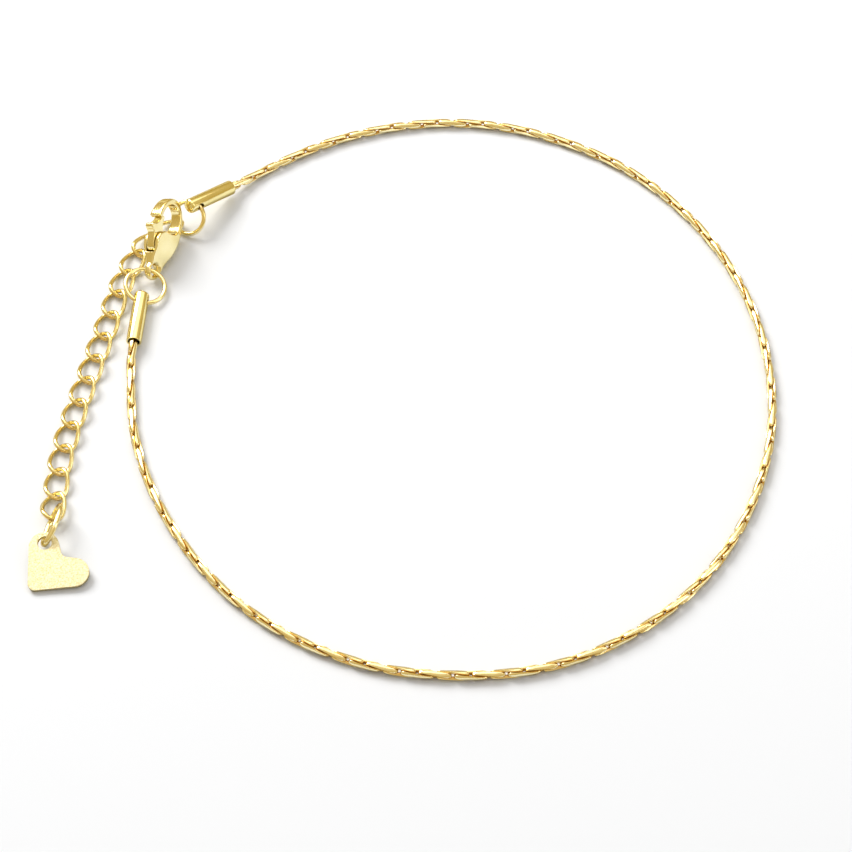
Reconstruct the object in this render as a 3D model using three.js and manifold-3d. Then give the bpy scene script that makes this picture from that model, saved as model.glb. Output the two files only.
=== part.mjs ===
// A chain anklet in gold-tone metal, lying closed on a surface: a fine twisted chain whose ends are
// soldered into two tubes, a jump ring on each tube, a lobster clasp, and an extender with a heart charm.
// Sizes are in millimetres, +Z is up, and the anklet rests on z = 0.
import * as THREE from "three";
import { mergeVertices } from "three/addons/utils/BufferGeometryUtils.js";
import Module from "manifold-3d";

const wasm = await Module();
wasm.setup();

const TURN = 2 * Math.PI;
const UP = new THREE.Vector3(0, 0, 1);

// Main chain: links with flat cut faces, each a quarter turn from the last, the whole chain twisted.
const CHAIN_LINKS = 114;
const CHAIN_WIDTH = 0.96;
const CHAIN_WIRE_HEIGHT = 0.42;
const CHAIN_BAR = 0.235;
const CHAIN_END = 0.585;
const CHAIN_BITE = 0.03;
const CHAIN_MEETING_SLACK = 0.1;
const CHAIN_SECTIONS = 10;
const CHAIN_WIRE_SIDES = 5;
const CHAIN_SQUARENESS = 5;
const CHAIN_TWIST_PER_LINK = TURN / 12;
const CHAIN_FIRST_ANGLE = 0;

// The chain's route from the first tube, clockwise seen from above, to the second.
const CHAIN_REST = 0.53;
const CHAIN_ROUTE = [
  { x: -18.5, y: 29.7, z: 0.56 },
  { x: -15.3, y: 31.9, z: CHAIN_REST },
  { x: -9.7, y: 34.9, z: CHAIN_REST },
  { x: -3.9, y: 36.8, z: CHAIN_REST },
  { x: 1.9, y: 37.7, z: CHAIN_REST },
  { x: 7.6, y: 37.6, z: CHAIN_REST },
  { x: 13.4, y: 36.4, z: CHAIN_REST },
  { x: 18.9, y: 34.2, z: CHAIN_REST },
  { x: 24.1, y: 31.1, z: CHAIN_REST },
  { x: 28.9, y: 26.8, z: CHAIN_REST },
  { x: 33.1, y: 21.4, z: CHAIN_REST },
  { x: 36.4, y: 15.1, z: CHAIN_REST },
  { x: 38.6, y: 8.1, z: CHAIN_REST },
  { x: 39.5, y: 0.6, z: CHAIN_REST },
  { x: 39.1, y: -6.9, z: CHAIN_REST },
  { x: 37.3, y: -14.0, z: CHAIN_REST },
  { x: 34.4, y: -20.4, z: CHAIN_REST },
  { x: 30.7, y: -25.8, z: CHAIN_REST },
  { x: 26.3, y: -30.2, z: CHAIN_REST },
  { x: 21.5, y: -33.5, z: CHAIN_REST },
  { x: 16.7, y: -35.8, z: CHAIN_REST },
  { x: 11.6, y: -37.2, z: CHAIN_REST },
  { x: 6.7, y: -37.7, z: CHAIN_REST },
  { x: 1.8, y: -37.6, z: CHAIN_REST },
  { x: -3.2, y: -36.9, z: CHAIN_REST },
  { x: -8.0, y: -35.4, z: CHAIN_REST },
  { x: -12.8, y: -33.1, z: CHAIN_REST },
  { x: -17.5, y: -29.8, z: CHAIN_REST },
  { x: -21.8, y: -25.5, z: CHAIN_REST },
  { x: -25.6, y: -20.1, z: CHAIN_REST },
  { x: -28.7, y: -13.9, z: CHAIN_REST },
  { x: -30.8, y: -6.9, z: CHAIN_REST },
  { x: -31.6, y: 0.6, z: CHAIN_REST },
  { x: -31.7, y: 2.6, z: 0.56 },
];
const CHAIN_TIP_THINNING = 0.45;
const CHAIN_IN_TUBE = 1.2;
const CHAIN_OUT_STRAIGHT = 0.5;
const ROUTE_DIVISIONS = 2000;

// End tubes: a bored mouth for the chain, a rounded closed end, and a cross hole for the jump ring.
const TUBE_RADIUS = 0.85;
const TUBE_LENGTH = 6.75;
const TUBE_BORE_RADIUS = 0.68;
const TUBE_BORE_DEPTH = 2.0;
const TUBE_END_ROUND = 0.35;
const TUBE_HOLE_RADIUS = 0.45;
const TUBE_HOLE_FROM_END = 1.1;
const TUBE_SIDES = 12;
const TUBE_DRILL_SIDES = 8;
const TUBE_ROUND_STEPS = 3;

// Jump rings: middle radius and wire, the place of the middle, the way that the flat side faces, and the
// compass turn from the middle to the tube that the ring passes through.
const RING_WIRE = 0.5;
const RING_SIDES = 6;
const RING_SECTIONS = 12;
const RING_A = {
  radius: 1.9,
  middle: new THREE.Vector3(-26.29, 22.06, 1.7),
  facing: new THREE.Vector3(-0.306, -0.598, 0.741),
  toTube: THREE.MathUtils.degToRad(58),
};
const RING_B = {
  radius: 2.25,
  middle: new THREE.Vector3(-30.74, 12.4, 1.15),
  facing: new THREE.Vector3(0.25, -0.1, 1),
  toTube: THREE.MathUtils.degToRad(-99),
};
const TUBE_A_MOUTH = new THREE.Vector3(-20.77, 27.9, 0.92);
const TUBE_B_MOUTH = new THREE.Vector3(-31.53, 4.88, 0.88);

// Clasp: its outline in a plane, with x from the spine to the lever and y from the tail to the hook.
const CLASP_TAIL_EYE = { x: -0.1, y: 1.05, middle: 0.86, wall: 0.25, half: 0.42, sides: 6, sections: 10 };
const CLASP_OUTER = [
  [-1.1, 1.3],
  [-1.3, 2.8],
  [-1.75, 4.5],
  [-2.0, 6.6],
  [-1.7, 8.4],
  [-0.65, 9.65],
  [0.65, 9.85],
  [1.7, 9],
  [2.2, 7.8],
  [2.28, 6.95],
];
const CLASP_INNER = [
  [1.75, 6.9],
  [1.6, 7.85],
  [1.05, 8.8],
  [0.1, 9.2],
  [-0.85, 8.8],
  [-1.4, 7.75],
  [-1.35, 6.6],
];
const CLASP_THROAT = [
  [-0.7, 5.9],
  [0.8, 5.65],
];
const CLASP_LEVER_SIDE = [
  [1.5, 5.1],
  [1.7, 4.2],
  [1.3, 2.8],
  [0.85, 1.55],
];
const CLASP_THICKNESS = [
  { y: -0.2, half: 0.55 },
  { y: 1.9, half: 0.55 },
  { y: 3.6, half: 1.05 },
  { y: 5.9, half: 1.05 },
  { y: 7.4, half: 0.72 },
  { y: 10.1, half: 0.66 },
];
const CLASP_SLOT = [
  [-0.45, 7],
  [-0.45, 4.5],
  [-0.1, 3.1],
  [0.35, 2.7],
  [3.0, 2.35],
  [3.0, 7],
];
const CLASP_SLOT_HALF = 0.56;
const CLASP_LENGTH = 10.2;
const CLASP_TAIL_PLACE = new THREE.Vector3(-30.05, 14.55, 1.28);
const CLASP_HEADING = THREE.MathUtils.degToRad(14.9);
const CLASP_RISE = THREE.MathUtils.degToRad(16.3);
const CLASP_ROLL = THREE.MathUtils.degToRad(64);
const CURVE_STEPS = 2;
const OUTLINE_STEPS = 6;

// Lever: a plate with a thumb tab, on a pin between the clasp's cheeks, with its end inside the hook's tip.
const PIVOT = { x: 0.65, y: 3.72 };
const PIN_RADIUS = 0.26;
const PIN_CLEARANCE = 0.05;
const PIN_SIDES = 12;
const LEVER_HALF = 0.5;
const LEVER_OUTLINE = [
  [0.05, 3.35],
  [0.65, 3.05],
  [1.25, 3.4],
  [1.8, 4.35],
  [2.1, 4.95],
  [2.65, 5.3],
  [2.7, 5.75],
  [2.2, 5.95],
  [1.75, 6.6],
  [1.6, 7.2],
  [1.15, 7.25],
  [1.0, 6.25],
  [0.5, 5.1],
  [0.0, 4],
];

// Extender: curb links of round wire, turned alike so that the chain lies flat.
const EXTENDER_LINKS = 14;
const EXTENDER_PITCH = 3.12;
const EXTENDER_WIRE = 0.48;
const EXTENDER_HALF_WIDTH = 1.16;
const EXTENDER_HALF_LENGTH = 1.86;
const EXTENDER_TURN = 0.38;
const EXTENDER_SQUARENESS = 2.2;
const EXTENDER_SECTIONS = 10;
const EXTENDER_WIRE_SIDES = 5;
const EXTENDER_REST = 0.61;
const EXTENDER_ROUTE = [
  { x: -28.7, y: 21.1, z: 0.68 },
  { x: -31.1, y: 18.9, z: 0.66 },
  { x: -33.4, y: 13.5, z: EXTENDER_REST },
  { x: -34.7, y: 7.5, z: EXTENDER_REST },
  { x: -36.0, y: 1.5, z: EXTENDER_REST },
  { x: -37.3, y: -4.5, z: EXTENDER_REST },
  { x: -38.3, y: -10.5, z: EXTENDER_REST },
  { x: -38.6, y: -16.8, z: 0.8 },
  { x: -38.5, y: -19.5, z: 1.5 },
];

// Charm ring: an oval of thicker wire that stands on edge between the last link and the heart.
const CHARM_RING_WIRE = 0.6;
const CHARM_RING_HALF_LENGTH = 2.35;
const CHARM_RING_HALF_WIDTH = 1.35;
const CHARM_RING_ALONG = new THREE.Vector3(0.26, 1, 0.06);
const CHARM_RING_FACING = new THREE.Vector3(1, -0.23, -0.6);

// Heart charm: a flat plate with two round lobes, a shallow notch, and a hole in one lobe.
const HEART_THICKNESS = 0.5;
const HEART_LOBE_RADIUS = 1.6;
const HEART_LOBE_OFFSET = 2.2;
const HEART_LOBE_ALONG = 4.75;
const HEART_NOTCH_ALONG = 5.35;
const HEART_POINT_RADIUS = 0.8;
const HEART_HOLE = { x: -2.4, y: 5.05, radius: 0.75 };
const HEART_POINT_PLACE = new THREE.Vector3(-40.5, -27.6, 0);
const HEART_AXIS_ANGLE = THREE.MathUtils.degToRad(49);
const HEART_TILT = THREE.MathUtils.degToRad(12);

const gold = (name, colour, roughness) =>
  new THREE.MeshStandardMaterial({ name, color: colour, roughness, metalness: 1 });
const CHAIN_GOLD = gold("chain gold", 0xe2c25c, 0.18);
const FITTING_GOLD = gold("fitting gold", 0xe8cc6c, 0.14);
const CHARM_GOLD = gold("charm gold", 0xf3e3a0, 0.22);

// A solid from a geometry, with only its positions kept and its shared vertices merged.
function solid(geometry) {
  const bare = geometry.clone();
  bare.deleteAttribute("normal");
  bare.deleteAttribute("uv");
  const merged = mergeVertices(bare, 1e-5);
  return new wasm.Manifold(
    new wasm.Mesh({
      numProp: 3,
      vertProperties: new Float32Array(merged.attributes.position.array),
      triVerts: new Uint32Array(merged.index.array),
    }),
  );
}

// A geometry from a solid.
function geometryOf(made) {
  const mesh = made.getMesh();
  const geometry = new THREE.BufferGeometry();
  geometry.setAttribute("position", new THREE.BufferAttribute(mesh.vertProperties, 3));
  geometry.setIndex(new THREE.BufferAttribute(mesh.triVerts, 1));
  geometry.computeVertexNormals();
  return geometry;
}

// One named mesh.
function piece(name, geometry, material) {
  const mesh = new THREE.Mesh(geometry, material);
  mesh.name = name;
  return mesh;
}

// A closed loop of wire: a torus whose vertices are moved to place(turn round the loop, turn round the wire).
function loopOf(sections, sides, place) {
  const geometry = new THREE.TorusGeometry(2, 1, sides, sections);
  const position = geometry.attributes.position;
  const uv = geometry.attributes.uv;
  const vertex = new THREE.Vector3();
  for (let i = 0; i < position.count; i += 1) {
    place(uv.getX(i), uv.getY(i), vertex);
    position.setXYZ(i, vertex.x, vertex.y, vertex.z);
  }
  return geometry;
}

// A coordinate of a superellipse: |cosine or sine| to the power 2 / squareness, with its sign.
const squared = (value, squareness) => Math.sign(value) * Math.abs(value) ** (2 / squareness);

// A smooth curve through a route's points.
function curveThrough(route) {
  const curve = new THREE.CatmullRomCurve3(
    route.map((p) => new THREE.Vector3(p.x, p.y, p.z)),
    false,
    "centripetal",
  );
  curve.arcLengthDivisions = ROUTE_DIVISIONS;
  return curve;
}

// The frame of a route at a length along it: place, forward, left and up.
function frameAt(curve, length) {
  const share = THREE.MathUtils.clamp(length / curve.getLength(), 0, 1);
  const forward = curve.getTangentAt(share);
  const left = new THREE.Vector3().crossVectors(UP, forward).normalize();
  const up = new THREE.Vector3().crossVectors(forward, left);
  const place = curve.getPointAt(share).addScaledVector(forward, length - share * curve.getLength());
  return { place, forward, left, up };
}

// One link of the main chain: an oval with flat outer faces, twisted and bent along the route.
function chainLink(curve, pitch, index) {
  const middle = (index + 0.5) * pitch + (index >= CHAIN_LINKS / 2 ? -CHAIN_MEETING_SLACK : 0);
  const quarter = (index % 2) * (Math.PI / 2) + CHAIN_FIRST_ANGLE;
  const tipShare = squared(Math.cos(Math.PI / CHAIN_SECTIONS), CHAIN_SQUARENESS);
  const outerLength = (pitch + 2 * CHAIN_END - CHAIN_BITE) / 2 / tipShare;
  const holeLength = (pitch - CHAIN_BITE) / 2 / tipShare;
  return loopOf(CHAIN_SECTIONS, CHAIN_WIRE_SIDES, (round, about, vertex) => {
    const angle = (round + 0.5 / CHAIN_SECTIONS) * TURN;
    const along = squared(Math.cos(angle), CHAIN_SQUARENESS);
    const across = squared(Math.sin(angle), CHAIN_SQUARENESS);
    const corner = Math.round(about * CHAIN_WIRE_SIDES) % CHAIN_WIRE_SIDES;
    const tip = Math.cos(angle) ** 4;
    const face = (CHAIN_WIRE_HEIGHT / 2) * (1 - CHAIN_TIP_THINNING * tip);
    const inward = [0, 0.45, 1, 0.45, 0][corner];
    const height = [face, CHAIN_WIRE_HEIGHT / 2, 0, -CHAIN_WIRE_HEIGHT / 2, -face][corner];
    const s = THREE.MathUtils.lerp(outerLength, holeLength, inward) * along;
    const y = (CHAIN_WIDTH / 2 - CHAIN_BAR * inward) * across;
    const turn = quarter + (CHAIN_TWIST_PER_LINK * (middle + s)) / pitch;
    const at = frameAt(curve, middle + s);
    vertex.copy(at.place);
    vertex.addScaledVector(at.left, y * Math.cos(turn) - height * Math.sin(turn));
    vertex.addScaledVector(at.up, y * Math.sin(turn) + height * Math.cos(turn));
  });
}

// One half of the main chain, its links fused where each holds the next.
function chainHalf(curve, pitch, first, last) {
  let fused = solid(chainLink(curve, pitch, first));
  for (let index = first + 1; index < last; index += 1) {
    fused = fused.add(solid(chainLink(curve, pitch, index)));
  }
  return geometryOf(fused);
}

// An end tube along +Y, its mouth at the origin, with the cross hole along the given direction.
function endTube(holeDirection) {
  const profile = new THREE.Path();
  profile.moveTo(0, TUBE_BORE_DEPTH);
  profile.lineTo(TUBE_BORE_RADIUS, TUBE_BORE_DEPTH);
  profile.lineTo(TUBE_BORE_RADIUS, 0);
  profile.lineTo(TUBE_RADIUS, 0);
  profile.lineTo(TUBE_RADIUS, TUBE_LENGTH - TUBE_END_ROUND);
  profile.absarc(
    TUBE_RADIUS - TUBE_END_ROUND,
    TUBE_LENGTH - TUBE_END_ROUND,
    TUBE_END_ROUND,
    0,
    Math.PI / 2,
  );
  profile.lineTo(0, TUBE_LENGTH);
  const tube = solid(new THREE.LatheGeometry(profile.getPoints(TUBE_ROUND_STEPS), TUBE_SIDES));
  const drill = new THREE.CylinderGeometry(
    TUBE_HOLE_RADIUS,
    TUBE_HOLE_RADIUS,
    4 * TUBE_RADIUS,
    TUBE_DRILL_SIDES,
  );
  drill.applyQuaternion(new THREE.Quaternion().setFromUnitVectors(new THREE.Vector3(0, 1, 0), holeDirection));
  drill.translate(0, TUBE_LENGTH - TUBE_HOLE_FROM_END, 0);
  return geometryOf(tube.subtract(solid(drill)));
}

// The line of a tube from its mouth to the place where the ring's wire crosses it.
function tubeLine(mouth, ring) {
  const facing = ring.facing.clone().normalize();
  const out = new THREE.Vector3(Math.cos(ring.toTube), Math.sin(ring.toTube), 0);
  out.addScaledVector(facing, -out.dot(facing)).normalize();
  const inward = TUBE_RADIUS ** 2 / (4 * ring.radius);
  const crossing = ring.middle.clone().addScaledVector(out, ring.radius - inward);
  const axis = crossing.clone().sub(mouth).normalize();
  const start = crossing.clone().addScaledVector(axis, TUBE_HOLE_FROM_END - TUBE_LENGTH);
  const wireWay = new THREE.Vector3().crossVectors(facing, out);
  return { start, axis, wireWay };
}

// A tube on its line, with the cross hole along the ring's wire.
function placedTube(name, line) {
  const turn = new THREE.Quaternion().setFromUnitVectors(new THREE.Vector3(0, 1, 0), line.axis);
  const hole = line.wireWay.clone();
  hole.applyQuaternion(turn.clone().invert());
  const mesh = piece(name, endTube(hole), FITTING_GOLD);
  mesh.quaternion.copy(turn);
  mesh.position.copy(line.start);
  return mesh;
}

// A round jump ring.
function jumpRing(name, ring) {
  const geometry = new THREE.TorusGeometry(ring.radius, RING_WIRE / 2, RING_SIDES, RING_SECTIONS);
  const mesh = piece(name, geometry, FITTING_GOLD);
  mesh.quaternion.setFromUnitVectors(UP, ring.facing.clone().normalize());
  mesh.position.copy(ring.middle);
  return mesh;
}

const flat = (points) => points.map(([x, y]) => new THREE.Vector2(x, y));
const smooth = (points) => new THREE.SplineCurve(flat(points)).getPoints(CURVE_STEPS * (points.length - 1));

// A plate from an outline, centred on z = 0.
function plate(points, halfThickness) {
  const geometry = new THREE.ExtrudeGeometry(new THREE.Shape(points), {
    depth: 2 * halfThickness,
    bevelEnabled: false,
  });
  geometry.translate(0, 0, -halfThickness);
  return solid(geometry);
}

// A round pin or drill along z.
function pin(x, y, radius, halfLength, sides) {
  const geometry = new THREE.CylinderGeometry(radius, radius, 2 * halfLength, sides);
  geometry.rotateX(Math.PI / 2);
  geometry.translate(x, y, 0);
  return solid(geometry);
}

// The clasp's cast body: outline cut by the thickness seen from its edge, less the slot, with the pin set in.
function claspBody() {
  const outline = [
    ...smooth(CLASP_OUTER),
    ...smooth(CLASP_INNER),
    ...smooth([CLASP_INNER.at(-1), ...CLASP_THROAT]).slice(1),
    ...smooth(CLASP_LEVER_SIDE),
  ].reverse();
  const thickest = Math.max(...CLASP_THICKNESS.map((row) => row.half));
  const side = [
    ...CLASP_THICKNESS.map((row) => [row.half, row.y]),
    ...CLASP_THICKNESS.map((row) => [-row.half, row.y]).reverse(),
  ];
  const edgeView = new THREE.ExtrudeGeometry(new THREE.Shape(flat(side)), {
    depth: CLASP_LENGTH,
    bevelEnabled: false,
  });
  edgeView.rotateY(Math.PI / 2);
  edgeView.translate(-CLASP_LENGTH / 2, 0, 0);
  const eye = CLASP_TAIL_EYE;
  const eyeRing = new THREE.TorusGeometry(eye.middle, eye.wall, eye.sides, eye.sections);
  eyeRing.scale(1, 1, eye.half / eye.wall);
  eyeRing.translate(eye.x, eye.y, 0);
  return plate(outline, thickest)
    .intersect(solid(edgeView))
    .subtract(plate(flat(CLASP_SLOT).reverse(), CLASP_SLOT_HALF))
    .subtract(pin(eye.x, eye.y, eye.middle, 2 * thickest, PIN_SIDES))
    .add(solid(eyeRing))
    .add(pin(PIVOT.x, PIVOT.y, PIN_RADIUS, CLASP_SLOT_HALF + 0.1, PIN_SIDES));
}

// The clasp's lever, bored for the pin.
function claspLever() {
  return plate(flat(LEVER_OUTLINE), LEVER_HALF).subtract(
    pin(PIVOT.x, PIVOT.y, PIN_RADIUS + PIN_CLEARANCE, 1, PIN_SIDES),
  );
}

// The clasp, laid with its spine down: turned to its heading, raised at the hook and rolled on its spine.
function clasp() {
  const group = new THREE.Group();
  group.add(piece("clasp_body", geometryOf(claspBody()), FITTING_GOLD));
  group.add(piece("clasp_lever", geometryOf(claspLever()), FITTING_GOLD));
  group.children.forEach((mesh) => mesh.geometry.translate(-CLASP_TAIL_EYE.x, -CLASP_TAIL_EYE.y, 0));
  const toHook = new THREE.Vector3(
    Math.sin(CLASP_HEADING) * Math.cos(CLASP_RISE),
    Math.cos(CLASP_HEADING) * Math.cos(CLASP_RISE),
    Math.sin(CLASP_RISE),
  );
  const level = new THREE.Vector3().crossVectors(UP, toHook).normalize();
  const above = new THREE.Vector3().crossVectors(toHook, level);
  const toLever = level
    .clone()
    .multiplyScalar(Math.cos(CLASP_ROLL))
    .addScaledVector(above, Math.sin(CLASP_ROLL));
  const facing = new THREE.Vector3().crossVectors(toLever, toHook);
  group.quaternion.setFromRotationMatrix(new THREE.Matrix4().makeBasis(toLever, toHook, facing));
  group.position.copy(CLASP_TAIL_PLACE);
  return group;
}

// One extender link: an oval of round wire, raised and lowered at its quarters by half-turned waves.
function extenderLink(curve, index) {
  const at = frameAt(curve, index * EXTENDER_PITCH);
  const loop = new THREE.Matrix4().makeBasis(at.left, at.forward, at.up.clone().negate());
  loop.setPosition(at.place);
  const centre = (angle) =>
    new THREE.Vector3(
      EXTENDER_HALF_WIDTH * squared(Math.cos(angle), EXTENDER_SQUARENESS),
      EXTENDER_HALF_LENGTH * squared(Math.sin(angle), EXTENDER_SQUARENESS),
      EXTENDER_TURN * Math.sin(2 * angle),
    );
  return loopOf(EXTENDER_SECTIONS, EXTENDER_WIRE_SIDES, (round, about, vertex) => {
    const angle = round * TURN;
    const forward = centre(angle + 0.05).sub(centre(angle - 0.05)).normalize();
    const outward = new THREE.Vector3().crossVectors(forward, UP).normalize();
    const over = new THREE.Vector3().crossVectors(outward, forward);
    vertex.copy(centre(angle));
    vertex.addScaledVector(outward, (EXTENDER_WIRE / 2) * Math.cos(about * TURN));
    vertex.addScaledVector(over, (EXTENDER_WIRE / 2) * Math.sin(about * TURN));
    vertex.applyMatrix4(loop);
  });
}

// The oval charm ring, standing on edge.
function charmRing() {
  const along = CHARM_RING_ALONG.clone().normalize();
  const across = new THREE.Vector3().crossVectors(CHARM_RING_FACING, along).normalize();
  const facing = new THREE.Vector3().crossVectors(along, across);
  const geometry = loopOf(RING_SECTIONS, RING_SIDES, (round, about, vertex) => {
    const angle = round * TURN;
    const reach = CHARM_RING_WIRE * 0.5 * Math.cos(about * TURN);
    vertex.set(
      (CHARM_RING_HALF_LENGTH + reach) * Math.cos(angle),
      (CHARM_RING_HALF_WIDTH + reach) * Math.sin(angle),
      CHARM_RING_WIRE * 0.5 * Math.sin(about * TURN),
    );
  });
  const mesh = piece("charm_ring", geometry, FITTING_GOLD);
  mesh.quaternion.setFromRotationMatrix(new THREE.Matrix4().makeBasis(along, across, facing));
  const hole = new THREE.Vector3(HEART_HOLE.x, HEART_HOLE.y, HEART_THICKNESS / 2);
  hole.applyAxisAngle(UP, HEART_AXIS_ANGLE - Math.PI / 2);
  hole.applyAxisAngle(new THREE.Vector3(1, 0, 0), HEART_TILT).add(HEART_POINT_PLACE);
  mesh.position.copy(hole).addScaledVector(along, CHARM_RING_HALF_LENGTH);
  return mesh;
}

// The heart's outline with its point at the origin and its axis along +Y.
function heartShape() {
  const lobe = new THREE.Vector2(HEART_LOBE_OFFSET, HEART_LOBE_ALONG);
  const point = new THREE.Vector2(0, HEART_POINT_RADIUS / Math.sin(Math.PI / 4.4));
  const side = Math.atan2(lobe.y - point.y, lobe.x);
  const swing = Math.asin((HEART_LOBE_RADIUS - HEART_POINT_RADIUS) / lobe.distanceTo(point));
  const tangent = side - swing - Math.PI / 2;
  const notch = new THREE.Vector2(0, HEART_NOTCH_ALONG);
  const toNotch = Math.atan2(notch.y - lobe.y, -lobe.x);
  const inner = toNotch - Math.acos(HEART_LOBE_RADIUS / lobe.distanceTo(notch));
  const shape = new THREE.Shape();
  shape.absarc(0, point.y, HEART_POINT_RADIUS, -Math.PI - tangent, tangent, false);
  shape.absarc(lobe.x, lobe.y, HEART_LOBE_RADIUS, tangent, inner, false);
  shape.lineTo(notch.x, notch.y);
  shape.absarc(-lobe.x, lobe.y, HEART_LOBE_RADIUS, Math.PI - inner, Math.PI - tangent, false);
  shape.closePath();
  const hole = new THREE.Path();
  hole.absarc(HEART_HOLE.x, HEART_HOLE.y, HEART_HOLE.radius, 0, TURN, true);
  shape.holes.push(hole);
  return shape;
}

// The heart charm, lying on its point and lower edge with the lobes raised by the ring under them.
function heartCharm() {
  const geometry = new THREE.ExtrudeGeometry(heartShape(), {
    depth: HEART_THICKNESS,
    curveSegments: OUTLINE_STEPS,
    bevelEnabled: false,
  });
  geometry.rotateZ(HEART_AXIS_ANGLE - Math.PI / 2);
  geometry.rotateX(HEART_TILT);
  const mesh = piece("heart_charm", geometry, CHARM_GOLD);
  mesh.position.copy(HEART_POINT_PLACE);
  return mesh;
}

// The whole anklet, moved so that the middle of its base is the origin.
function anklet() {
  const group = new THREE.Group();
  const lineA = tubeLine(TUBE_A_MOUTH, RING_A);
  const lineB = tubeLine(TUBE_B_MOUTH, RING_B);
  const chain = curveThrough([
    lineA.start.clone().addScaledVector(lineA.axis, CHAIN_IN_TUBE),
    lineA.start.clone().addScaledVector(lineA.axis, -CHAIN_OUT_STRAIGHT),
    ...CHAIN_ROUTE,
    lineB.start.clone().addScaledVector(lineB.axis, -CHAIN_OUT_STRAIGHT),
    lineB.start.clone().addScaledVector(lineB.axis, CHAIN_IN_TUBE),
  ]);
  const pitch = (chain.getLength() + CHAIN_MEETING_SLACK) / CHAIN_LINKS;
  const half = CHAIN_LINKS / 2;
  group.add(piece("main_chain_a", chainHalf(chain, pitch, 0, half), CHAIN_GOLD));
  group.add(piece("main_chain_b", chainHalf(chain, pitch, half, CHAIN_LINKS), CHAIN_GOLD));
  group.add(placedTube("end_tube_a", lineA));
  group.add(placedTube("end_tube_b", lineB));
  group.add(jumpRing("jump_ring_a", RING_A));
  group.add(jumpRing("jump_ring_b", RING_B));
  group.add(clasp());
  const extender = curveThrough(EXTENDER_ROUTE);
  for (let index = 0; index < EXTENDER_LINKS; index += 1) {
    const name = "extender_link_" + String(index + 1).padStart(2, "0");
    group.add(piece(name, extenderLink(extender, index), CHAIN_GOLD));
  }
  group.add(charmRing());
  group.add(heartCharm());
  const box = new THREE.Box3().setFromObject(group, true);
  const middle = box.getCenter(new THREE.Vector3());
  group.position.set(-middle.x, -middle.y, -box.min.z);
  return group;
}

export default anklet();
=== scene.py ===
import bmesh
import bpy
import numpy as np
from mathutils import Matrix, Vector


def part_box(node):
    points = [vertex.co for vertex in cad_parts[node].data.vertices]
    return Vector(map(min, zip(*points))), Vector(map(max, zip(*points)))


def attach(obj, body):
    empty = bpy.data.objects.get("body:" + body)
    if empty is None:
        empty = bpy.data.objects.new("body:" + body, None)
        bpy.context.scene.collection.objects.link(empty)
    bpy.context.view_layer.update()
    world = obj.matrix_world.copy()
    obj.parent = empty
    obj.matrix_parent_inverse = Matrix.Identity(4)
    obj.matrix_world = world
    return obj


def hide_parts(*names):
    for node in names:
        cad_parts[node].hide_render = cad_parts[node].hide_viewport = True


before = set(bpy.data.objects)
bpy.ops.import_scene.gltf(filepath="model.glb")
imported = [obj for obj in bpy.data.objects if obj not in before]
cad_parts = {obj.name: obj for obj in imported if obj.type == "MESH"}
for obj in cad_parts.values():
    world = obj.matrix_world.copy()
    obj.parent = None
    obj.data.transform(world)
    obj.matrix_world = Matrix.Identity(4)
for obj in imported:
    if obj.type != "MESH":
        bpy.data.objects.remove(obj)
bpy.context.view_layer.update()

# The place of the anklet: its maker's drawing is in millimetres, and the closing's jump ring,
# which has its middle at a known place of the drawing, tells how far the drawing was moved to
# centre it.
MM = 0.001
JUMP_RING_A_MIDDLE = np.array([-26.29, 22.06, 1.7])
ring_low, ring_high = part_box("jump_ring_a")
DRAWING_SHIFT = (np.array(ring_low) + np.array(ring_high)) / 2 / MM - JUMP_RING_A_MIDDLE


def in_metres(places):
    """Places of the drawing, in millimetres, moved by the drawing's shift and scaled to
    metres."""
    return (np.asarray(places, float) + DRAWING_SHIFT) * MM


# The camera stands in front of the anklet and looks down on it at about 55 degrees, as a
# photographer holds it over a small piece on a table. It is level, with no shift and no blur.
CAMERA_AIM = np.array([1.25, -6.25, 0.0])
CAMERA_DISTANCE = 264.4
CAMERA_ELEVATION = np.radians(55.08)
CAMERA_LENS = 101.66
CAMERA_SENSOR = 36.0
CAMERA_NEAR = 0.01
CAMERA_FAR = 5.0
camera_data = bpy.data.cameras.new("camera")
camera_data.lens = CAMERA_LENS
camera_data.sensor_width = CAMERA_SENSOR
camera_data.clip_start = CAMERA_NEAR
camera_data.clip_end = CAMERA_FAR
camera = bpy.data.objects.new("camera", camera_data)
bpy.context.scene.collection.objects.link(camera)
camera_back = np.array([0.0, -np.cos(CAMERA_ELEVATION), np.sin(CAMERA_ELEVATION)])
camera.location = Vector(in_metres(CAMERA_AIM + CAMERA_DISTANCE * camera_back))
camera.rotation_euler = (np.pi / 2 - CAMERA_ELEVATION, 0.0, 0.0)
bpy.context.scene.camera = camera

# The floor is a white sheet under the anklet, and the light is that of a small studio: a lamp at
# the upper left for the shadows, broad dim panels behind and overhead, a narrow one at the right,
# and a warm room.
FLOOR_HALF = 1.2
FLOOR_WHITE = (0.9, 0.9, 0.9, 1.0)
ROOM_LIGHT = (0.34, 0.34, 0.34, 1.0)
ROOM_SEEN_LOW = (0.52, 0.37, 0.1, 1.0)
ROOM_SEEN_HIGH = (0.8, 0.66, 0.42, 1.0)
LAMPS = [
    {"name": "key", "place": (-0.42, 0.5, 0.51), "width": 0.42, "height": 0.42, "watts": 6.4},
    {"name": "panel", "place": (0.02, 0.24, 0.36), "width": 0.5, "height": 0.3, "watts": 0.45},
    {"name": "overhead", "place": (-0.02, 0.08, 0.5), "width": 0.34, "height": 0.2, "watts": 0.19},
    {"name": "side", "place": (0.3, -0.05, 0.2), "width": 0.06, "height": 0.3, "watts": 0.17},
]
floor_corners = [(-FLOOR_HALF, -FLOOR_HALF), (FLOOR_HALF, -FLOOR_HALF)]
floor_corners += [(FLOOR_HALF, FLOOR_HALF), (-FLOOR_HALF, FLOOR_HALF)]
floor_mesh = bpy.data.meshes.new("floor")
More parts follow.
